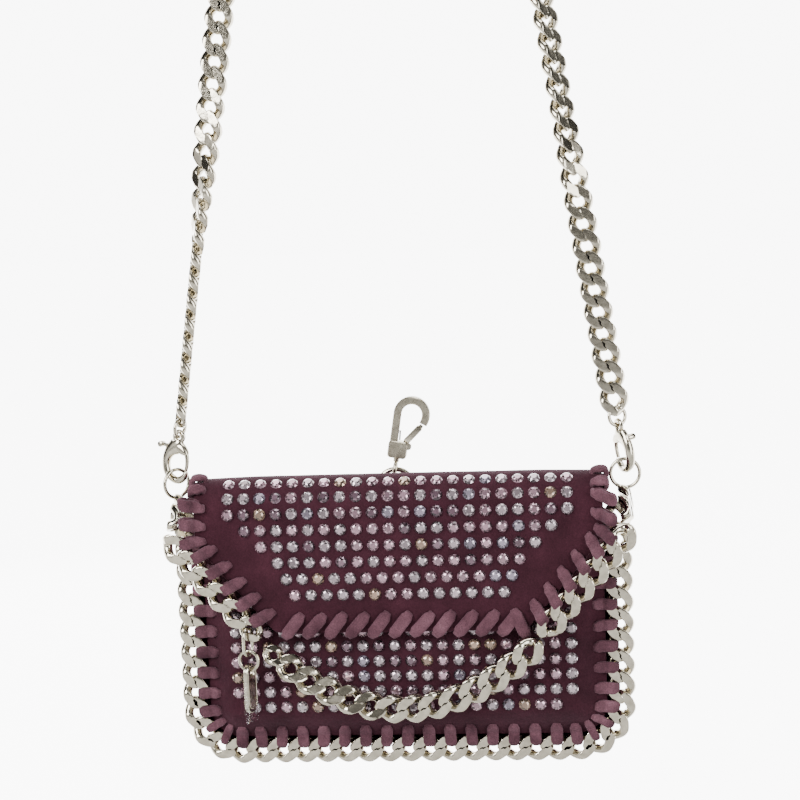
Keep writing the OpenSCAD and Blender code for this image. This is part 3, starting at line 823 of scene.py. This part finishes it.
layer("front_panel_suede", panel_grid(-FRONT_Y, -1, FRONT_TOP, seed=FRONT_WAVES),
      "suede", "front_panel", "stretched", ["edge_chain_curb"], flip=False)
layer("back_panel_suede", panel_grid(BACK_Y, 1, BACK_TOP, -BACK_UNDER_CHAIN, BACK_WAVES, rim=BACK_RIM),
      "suede", "back_panel", "stretched", ["edge_chain_curb"])
bend_with_flap(layer("flap_suede", flap_grid(), "suede", "flap", "folded", ["back_panel_suede"], body=None))
layer("front_lining_twill", panel_grid(-FRONT_Y - UNDER, -1, FRONT_TOP - 1, LINING_INSET, FRONT_WAVES),
      "lining", "front_lining", "laid", ["front_panel_suede"], flip=False)
layer("back_lining_twill",
      panel_grid(BACK_Y - UNDER, 1, BACK_TOP, LINING_INSET, BACK_WAVES, rim=BACK_RIM - UNDER),
      "lining", "back_lining", "laid", ["back_panel_suede"])
bend_with_flap(layer("flap_lining_twill", flap_grid(FLAP_LINING_INSET, UNDER_FLAP),
                     "lining", "flap_lining", "folded", ["flap_suede"], body=None))


def card_pocket():
    """A cloth pocket on the back lining: bound top edge, rounded corners, a slight gape."""
    wide, low, high = 46.0, 14.3, 62.3
    columns, rows = 41, 22
    u = np.linspace(-1, 1, columns)
    v = np.repeat(np.linspace(0, 1, rows)[:, None], columns, 1)
    x = u * (wide - 1.2 * (1 - np.minimum(v * 6, 1)) ** 2)
    z = low + (high - low) * v
    gape = 0.55 * v * (1 - (x / wide) ** 2) ** 0.7
    y = BACK_Y - SUEDE_T - LINING_T - 0.45 - gape
    grid = np.stack([x, y, z], 2)
    shape = Shape()
    shape.add(*thick_grid(grid, LINING_T, flip=False, edge=0.1))
    obj = shape.piece("card_pocket_twill", LINING, "wallet", ["card_pocket"])
    binding = Shape()
    binding.add(*sweep(np.stack([x[-1], y[-1] + 0.25, z[-1]], 1), circle(0.55, 8, 1.3)))
    binding.piece("card_pocket_binding", LINING, "wallet")
    cloth(obj, grid, "laid", ["back_lining_twill"])


card_pocket()

# ---- build: chains ----

edge_centres = in_order(middles("edge_chain"), (-64, 0, 80))
chain("edge_chain", "wallet", edge_centres, (0, -1, 0))

for word, side in SIDES:
    name = f"corner_links_{word}"
    obj = chain(name, None, in_order(middles(name), (side * RING_X, 0, 80)), (side * 0.8, -0.6, 0))
    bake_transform(obj)

# The left chain's last link and the swag's first are smaller, to clear the pendant's link.
flap_centres = {}
for word, side in SIDES:
    name = f"flap_chain_{word}"
    flap_centres[word] = in_order(middles(name), (side * 66, -14, 70))
    small = {len(flap_centres[word]) - 1: SMALL_FLAP_LINK} if side < 0 else None
    bend_with_flap(chain(name, None, flap_centres[word], (side * 0.12, -1, 0), small=small))


def swag_chain():
    """The free chain, whose links lean back a little at the left end."""
    centres = in_order(middles("swag_chain"), (-40, -14, 36))
    way = np.linspace(0, 1, len(centres))
    facing = np.stack([0 * way, -np.ones_like(way), 1.3 * np.clip(1 - 2.2 * way, 0, 1)], 1)
    chain("swag_chain", "swag", centres, facing, small={0: SMALL_SWAG_LINK})


swag_chain()

STRAND_LINKS = 20
LEFT_TURN, LEFT_TOP = 80, 205
RIGHT_TURN, RIGHT_LOW = 50, 150


def strap_chain():
    """The strap, whose links turn about it: the left strand's low down, the right strand's higher up,
    and those of the arch on the way from one to the other."""
    centres = in_order(np.concatenate([middles(n) for n in ("strap_left", "strap_arch", "strap_right")]),
                       (-64, 0, 100))
    count, height = len(centres), centres[:, 2]
    index = np.arange(count)
    left = LEFT_TURN * smoothstep((LEFT_TOP - height) / 60)
    right = RIGHT_TURN * smoothstep((height - RIGHT_LOW) / 40)
    arch = right.max() * smoothstep((index - count // 2 + 12) / 24)
    turns = np.where(index < STRAND_LINKS, left, np.where(index < count - STRAND_LINKS, arch, right))
    front = np.array([0, -1.0, 0])
    facing = [front * math.cos(a) + np.cross(front, heading) * math.sin(a)
              for heading, a in zip(unit_rows(headings(centres)), np.radians(turns))]
    chain("strap_chain", "strap", centres, facing, ["strap_left", "strap_right", "strap_arch"])


strap_chain()

# ---- build: laces ----

FLAP_THICK = SUEDE_T + LINING_T
# How far in from the chain's centre a lace lies, and its height over the panel, from its hole outwards.
OVER_PANEL = ((7.5, -0.35), (7.35, 0.45), (6.0, 0.62), (4.9, 0.62))
ROUND_CHAIN = [(3.9, 2.0), (3.0, 2.1), (2.0, 2.0), (1.2, 1.3), (1.0, 0.2), (1.0, -2.2), (1.3, -3.4)]


def edge_laces():
    """A lace over each link of the edge chain, from the front panel round to the back one."""
    shape = Shape()
    seed = random.Random(5)
    front = [(u, bulge(u - PANEL_LOW, -FRONT_Y, FRONT_RIM) + lift) for u, lift in OVER_PANEL]
    back = [(u, -bulge(u - PANEL_LOW, BACK_Y, BACK_RIM) - lift) for u, lift in reversed(OVER_PANEL)]
    loop = front + ROUND_CHAIN + [(2.2, -BACK_RIM - 0.62)] + back
    for centre, heading in zip(edge_centres, headings(edge_centres)):
        along = unit(heading)
        inward = np.cross(along, [0, 1, 0])
        if np.dot(inward, np.array([0, 0, 45]) - centre) < 0:
            inward = -inward
        in_corner = abs(along[0]) > 0.25 and abs(along[2]) > 0.25
        width = CORNER_LACE_W if in_corner else LACE_W + seed.uniform(-0.2, 0.15)
        lace(shape, centre, along, inward, (0, -1, 0), loop, width, seed.uniform(-5, 5))
    shape.piece("edge_laces", LACE, "wallet", ["edge_lacing"])


edge_laces()


def flap_side_laces():
    """The flap's side laces: one over each link of its chain, two above them on the fold's face, and
    two over each end of the fold."""
    shape = Shape()
    seed = random.Random(6)
    edge_x = 65.2
    for word, side in SIDES:
        first = np.array([side * edge_x, FLAP_Y - 1.6, 78.0])
        centres = np.concatenate([[first, first - [side * 0.1, 0.5, 5.6]], flap_centres[word]])
        for centre, heading in zip(centres, headings(centres)):
            along = unit(heading * [1, 0, 1])
            inward = np.cross(along, [0, 1, 0])
            if inward[0] * side > 0:
                inward = -inward
            face = centre[1] - FLAP_Y
            under = face - FLAP_THICK
            loop = [(7.9, face - 0.35), (7.75, face + 0.45), (6.4, face + 0.6), (4.9, face + 0.75),
                    (3.7, 1.55), (2.9, 1.5), (2.1, 1.2), (1.6, 0.5), (1.6, -0.5), (2.1, -1.2), (3.2, -1.8),
                    (4.6, under - 0.3), (6.4, under - 0.5), (7.75, under - 0.45), (7.9, under + 0.3)]
            lace(shape, centre, along, inward, (0, -1, 0), loop, LACE_W + seed.uniform(-0.2, 0.1),
                 side * -SIDE_LEAN + seed.uniform(-4, 4))
        loop = [(7.9, -0.35), (7.75, 0.5), (6.4, 0.72), (5.0, 0.75), (4.0, 0.4), (3.6, -0.8), (4.0, -2.0),
                (5.0, -2.35), (6.4, -2.35), (7.75, -2.2), (7.9, -1.4)]
        for a in (math.radians(45), math.radians(72)):
            out = np.array([0, -math.cos(a), math.sin(a)])
            base = np.array([side * edge_x, FOLD_Y, FOLD_Z]) + out * FOLD_R_FRONT
            along = (0, math.sin(a), math.cos(a))
            lace(shape, base, along, (-side, 0, 0), out, loop, FOLD_LACE_W, side * -FOLD_LEAN)
    bend_with_flap(shape.piece("flap_side_laces", LACE, None, ["flap_side_lacing"]))


flap_side_laces()


def flap_bottom_laces():
    """Laces leaning to the right over the flap's lower edge, the last one doubled back."""
    shape = Shape()
    seed = random.Random(8)
    centres = in_order(middles("flap_bottom_lacing"), (-40, -10, 42))
    pairs = [(c, BOTTOM_LEAN) for c in centres]
    pairs.append((centres[-1] + [3.3, 0, -0.2], LAST_LEAN))
    for centre, lean in pairs:
        a = math.radians(lean + seed.uniform(-3, 3))
        up = np.array([math.sin(a), 0, math.cos(a)])
        across = np.array([math.cos(a), 0, -math.sin(a)])
        face = centre[1] - FLAP_Y
        under = face - FLAP_THICK
        loop = [(4.3, face - 0.3), (4.2, face + 0.45), (2.2, face + 0.75), (-0.6, face + 0.8),
                (-2.6, face + 0.7), (-3.8, face + 0.2), (-4.2, (face + under) / 2), (-3.8, under - 0.1),
                (-2.6, under - 0.42), (-0.6, under - 0.45), (2.2, under - 0.42), (4.2, under - 0.4),
                (4.3, under + 0.3)]
        loop = smooth_path(loop, 2, closed=True)
        path = np.array([centre + up * u + np.array([0, -1, 0]) * w for u, w in loop])
        profiles = [strip(BOTTOM_LACE_W * pinch(u, -2.6, 2.9), BOTTOM_LACE_T) for u, _ in loop]
        shape.add(*sweep(path, profiles, side=across, closed=True))
    shape.piece("flap_bottom_laces", LACE, "flap", ["flap_bottom_lacing"])


flap_bottom_laces()

# ---- build: stones ----

stones("front_stones_cut", "front_stones", "wallet")
bend_with_flap(stones("flap_stones_cut", "flap_stones", None))

# ---- build: lobster clasps ----

BEND_X, BEND_Z = 45, 232
STRAND_LEAN = math.degrees(math.atan((RING_X - BEND_X) / (BEND_Z - HANG_Z)))
CLAW_DROP = 2.5
EYE_Z, EYE_R = 12.6, 1.5
CLASP_TURN = {"left": -22, "right": 120}


def clasp_matrix(side, turn):
    m = Matrix.Translation((side * RING_X, 0, HANG_Z))
    m = m @ Matrix.Rotation(math.radians(-side * STRAND_LEAN), 4, "Y")
    return m @ Matrix.Translation((0, 0, -CLAW_DROP)) @ Matrix.Rotation(math.radians(turn), 4, "Z")


def tapered(shape, matrix, stations, wider=1.0):
    """A body of rounded sections through (x, z, half width, half depth) stations in the X-Z plane."""
    line = smooth_path(stations, 2) * [1, 1, wider, 1]
    path = np.c_[line[:, 0], np.zeros(len(line)), line[:, 1]]
    side = np.cross(unit_rows(np.gradient(path, axis=0)), [0, 1, 0])
    shape.place(*sweep(path, [oval(w, d, 16) for _, _, w, d in line], side=side), matrix)


# Stations down each part, as (x, z, half width, half depth), and the pad's (y, radius).
CLAW = [(3.75, 2.5, 0.45, 0.7), (3.5, 1.3, 0.75, 0.95), (2.4, -0.1, 0.95, 1.15), (0.6, -0.75, 0.95, 1.25),
        (-1.5, -0.1, 0.9, 1.3), (-3.1, 1.6, 0.9, 1.35), (-3.7, 4.2, 0.95, 1.4), (-3.3, 6.7, 1.25, 1.4),
        (-2.0, 8.6, 1.75, 1.4), (-0.6, 9.6, 2.2, 1.4), (0.0, 10.7, 1.7, 1.35), (0, 11.6, 1.0, 1.15)]
CLAW_SHOULDER = [(0.2, 9.6, 1.6, 1.35), (1.6, 8.9, 1.5, 1.3), (2.9, 8.1, 1.0, 1.15), (3.5, 7.6, 0.5, 0.9)]
LEVER = [(-5.3, 9.45, 0.55, 0.55), (-4.2, 9.3, 0.6, 0.6), (-2.0, 9.5, 0.8, 0.62), (0.6, 9.5, 0.8, 0.62),
         (2.6, 8.6, 0.75, 0.62), (3.6, 6.8, 0.7, 0.62), (3.75, 4.4, 0.6, 0.6), (3.55, 2.7, 0.5, 0.55)]
THUMB_PAD = [(-1.2, 0.55), (-1.05, 0.85), (-0.5, 0.95), (0.5, 0.95), (1.05, 0.85), (1.2, 0.55)]


def clasp(word, side):
    """A lobster clasp: claw, shoulder and eye in one body, and a lever with its thumb pad."""
    matrix = clasp_matrix(side, CLASP_TURN[word])
    body = Shape()
    tapered(body, matrix, CLAW, 1.25)
    tapered(body, matrix, CLAW_SHOULDER, 1.15)
    angle = np.linspace(0, 2 * math.pi, 28, endpoint=False)
    eye = np.c_[EYE_R * np.cos(angle), 0 * angle, EYE_Z + EYE_R * np.sin(angle)]
    body.place(*sweep(eye, circle(0.62, 10, 1.15), side=eye - [0, 0, EYE_Z], closed=True), matrix)
    body.piece(f"clasp_{word}_body", SILVER, "strap", [f"clasp_{word}"])
    lever = Shape()
    tapered(lever, matrix, LEVER)
    pad = [(-5.9, y, 9.4) for y, _ in THUMB_PAD]
    lever.place(*sweep(pad, [circle(r, 16) for _, r in THUMB_PAD], side=(1, 0, 0)), matrix)
    lever.piece(f"clasp_{word}_lever_bar", SILVER, f"{word}_lever", [f"clasp_{word}_lever"])


for word, side in SIDES:
    clasp(word, side)

# ---- build: key hook ----

KEY_X, KEY_Y, KEY_AXIS_Z = -2.0, 11.6, 74.1
KEY_RING_R, KEY_RING_LEG = 5.4, 4.0
HOOK_LEAN = 10.0
BOW_X, BOW_Z, BOW_R, BAR = 2.8, 17.2, 4.3, 2.4
BLOCK_LOW, BLOCK_HIGH, BLOCK_HALF = 3.4, 8.6, 2.9
GATE_FOOT, GATE_LEAN, GATE_W = (1.2, 0, 7.3), 36.0, 1.9
# Stations up the gate, as (distance, width).
GATE = [(0.4, 1.15), (1.4, 1.3), (1.6, 1.7), (2.0, GATE_W), (7.4, GATE_W), (7.8, 1.75), (7.9, 1.3),
        (8.7, 1.15)]
HOOK = (Matrix.Translation((KEY_X, KEY_Y, KEY_AXIS_Z + KEY_RING_LEG + KEY_RING_R + 0.3))
        @ Matrix.Rotation(math.radians(HOOK_LEAN), 4, "Y"))


def square_bar(size, corner=0.35):
    h, c = size / 2, size / 2 - corner
    return [(-h, -c), (-c, -h), (c, -h), (h, -c), (h, c), (c, h), (-c, h), (-h, c)]


def rounded_rectangle(x0, z0, x1, z1, r, n=6):
    points = []
    corners = ((x1 - r, z1 - r, 0), (x0 + r, z1 - r, 90), (x0 + r, z0 + r, 180), (x1 - r, z0 + r, 270))
    for x, z, start in corners:
        turns = [math.radians(start + 90 * k / n) for k in range(n + 1)]
        points += [(x + r * math.cos(a), z + r * math.sin(a)) for a in turns]
    return points


def key_hook():
    """The hook's block and square bow, and the gate that closes it."""
    shape = Shape()
    block = rounded_rectangle(-BLOCK_HALF, BLOCK_LOW, BLOCK_HALF, BLOCK_HIGH, 1.0)
    shape.place(*slab(block, -2, 2, 0.3), HOOK)
    arc = [(BOW_X + BOW_R * math.cos(a), 0, BOW_Z + BOW_R * math.sin(a)) for a in np.linspace(math.pi, 0, 25)]
    left, right = BOW_X - BOW_R, BOW_X + BOW_R
    path = ([(left, 0, z) for z in np.linspace(7.4, BOW_Z - 0.6, 6)] + arc
            + [(right, 0, BOW_Z - 0.7), (right - 0.15, 0, BOW_Z - 1.5), (right - 0.5, 0, BOW_Z - 2.5)])
    side = np.cross(unit_rows(np.gradient(np.array(path), axis=0)), [0, 1, 0])
    shape.place(*sweep(path, square_bar(BAR), side=side), HOOK)
    shape.piece("key_hook_body", SATIN, "key_hook", ["key_hook"])
    gate = Shape()
    lean = math.radians(GATE_LEAN)
    way = np.array([math.sin(lean), 0, math.cos(lean)])
    across = (math.cos(lean), 0, -math.sin(lean))
    line = [GATE_FOOT + way * distance for distance, _ in GATE]
    bars = [square_bar(width, 0.3 * width / GATE_W) for _, width in GATE]
    gate.place(*sweep(line, bars, side=across), HOOK)
    gate.place(*slab(rounded_rectangle(0.1, 6.2, 4.0, 8.3, 0.9), -0.72, 0.72, 0.15), HOOK)
    gate.piece("hook_gate_bar", SILVER, "hook_gate", ["hook_gate"])


key_hook()


def key_tab():
    """A strip of suede folded round the D-ring's bar and stitched down."""
    face = BACK_Y + 0.1
    line = [(face + 0.4, KEY_AXIS_Z - 16), (face + 0.4, KEY_AXIS_Z - 8), (face + 0.5, KEY_AXIS_Z - 3),
            (KEY_Y - 1.9, KEY_AXIS_Z - 1.0)]
    line += [(KEY_Y - 1.5 * math.cos(a), KEY_AXIS_Z + 1.5 * math.sin(a))
             for a in np.linspace(0.1, math.pi + 0.5, 10)]
    line += [(KEY_Y - 0.6, KEY_AXIS_Z - 2.0), (face + 1.9, KEY_AXIS_Z - 5), (face + 1.6, KEY_AXIS_Z - 9),
             (face + 1.5, KEY_AXIS_Z - 15.6)]
    line = smooth_path(line, 1)
    path = np.array([(KEY_X, y, z) for y, z in line])
    shape = Shape()
    shape.add(*sweep(path, strip(8, 0.95), side=(1, 0, 0)))
    shape.piece("key_tab_suede", SUEDE, "wallet", ["key_tab"])
    thread = Shape()
    for dx in (-3.1, 3.1):
        for k in range(7):
            z = KEY_AXIS_Z - 7.5 - k * 1.25
            stitch = [(KEY_X + dx, face + rise, z - down)
                      for rise, down in ((2.0, 0.0), (2.3, 0.25), (2.3, 0.65), (2.0, 0.9))]
            thread.add(*sweep(stitch, circle(0.16, 6), side=(1, 0, 0)))
    thread.piece("key_tab_stitches", LACE, "wallet")


key_tab()

# ---- build: charm ----

PENDANT = (-45.0, -15.1, 41.4)
RING_DROP, PENDANT_RING_R = 6.7, 2.9
TAG_DROP = RING_DROP + 2 * PENDANT_RING_R + 0.7
TAG_TURN = 70


def charm():
    """A long flat tag with a raised rim on each face, and the film sleeve round it."""
    place = Matrix.Translation(PENDANT) @ Matrix.Translation((0, 0, -TAG_DROP))
    matrix = place @ Matrix.Rotation(math.radians(TAG_TURN), 4, "Z")
    wide, tall = 2.8, 9.4
    hole = circle(1.3, 40)
    outer = [(x, z if z >= 0 else z - tall) for x, z in circle(wide, 40)]
    shape = Shape()
    shape.place(*slab(outer, -0.75, 0.75, 0.25, hole), matrix)
    for y in (0.72, -0.72):
        rim = [(x * 0.80, y, z * 0.80 - (0 if z >= 0 else 1.0)) for x, z in outer]
        shape.place(*sweep(rim, circle(0.18, 6), side=(0, 1, 0), closed=True), matrix)
    shape.piece("charm_tag_plate", SILVER, "charm", ["charm_tag"])
    film = Shape()
    columns, rows = 17, 15
    u = np.repeat(np.linspace(-1, 1, columns)[None], rows, 0)
    v = np.repeat(np.linspace(0, 1, rows)[:, None], columns, 1)
    for face in (-1, 1):
        x = 3.3 * u * (1 + 0.02 * np.sin(5 * v))
        z = -15.0 + 13.0 * v
        belly = 0.25 + 0.75 * (1 - u ** 2) ** 0.5 * (0.35 + 0.65 * np.minimum(1, v * 4))
        y = face * np.maximum(belly, 0.12)
        film.place(*thick_grid(np.stack([x, y, z], 2), 0.12, flip=face > 0, edge=0.02), matrix)
    film.piece("charm_film_sleeve", FILM, "charm", ["charm_film"])


charm()

# ---- materials of the CAD pieces that stay ----

for name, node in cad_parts.items():
    if node.hide_render:
        continue
    material = SILVER
    if name.endswith("_spring"):
        material = DARK
    elif name == "hook_swivel":
        material = SATIN
    node.data.materials.clear()
    node.data.materials.append(material)

# ---- stage ----

add_camera()


def add_floor():
    mesh = bpy.data.meshes.new("floor")
    corners = [(x * FLOOR_HALF, y * FLOOR_HALF, FLOOR_Z) for x, y in ((-1, -1), (1, -1), (1, 1), (-1, 1))]
    mesh.from_pydata([tuple(row(c)) for c in corners], [], [(0, 1, 2, 3)])
    mesh.materials.append(floor_material())
    put("floor", mesh)


add_floor()
for name, place, size, watts in LIGHTS:
    add_light(name, place, size, watts)


def add_world():
    """White behind the wallet, grey in front and dark at the sides and overhead, so that the
    plated wire has something to show."""
    world = bpy.data.worlds.new("studio")
    world.use_nodes = True
    tree = world.node_tree
    place = tree.nodes.new("ShaderNodeTexCoord")
    split = tree.nodes.new("ShaderNodeSeparateXYZ")
    tree.links.new(place.outputs["Generated"], split.inputs[0])

    def ramp(value, low, stops):
        part = tree.nodes.new("ShaderNodeMapRange")
        part.inputs["From Min"].default_value = low
        tree.links.new(value, part.inputs["Value"])
        return colour_ramp(tree, part.outputs["Result"], [(at, (grey, grey, grey)) for at, grey in stops])

    mix = tree.nodes.new("ShaderNodeMix")
    mix.data_type, mix.blend_type = "RGBA", "MULTIPLY"
    mix.inputs[0].default_value = 1.0
    tree.links.new(ramp(split.outputs["Z"], 0.0, WORLD_UP), mix.inputs[6])
    tree.links.new(ramp(split.outputs["Y"], -1.0, WORLD_BACK), mix.inputs[7])
    tree.links.new(mix.outputs[2], tree.nodes["Background"].inputs["Color"])
    tree.nodes["Background"].inputs["Strength"].default_value = WORLD_STRENGTH
    bpy.context.scene.world = world


add_world()
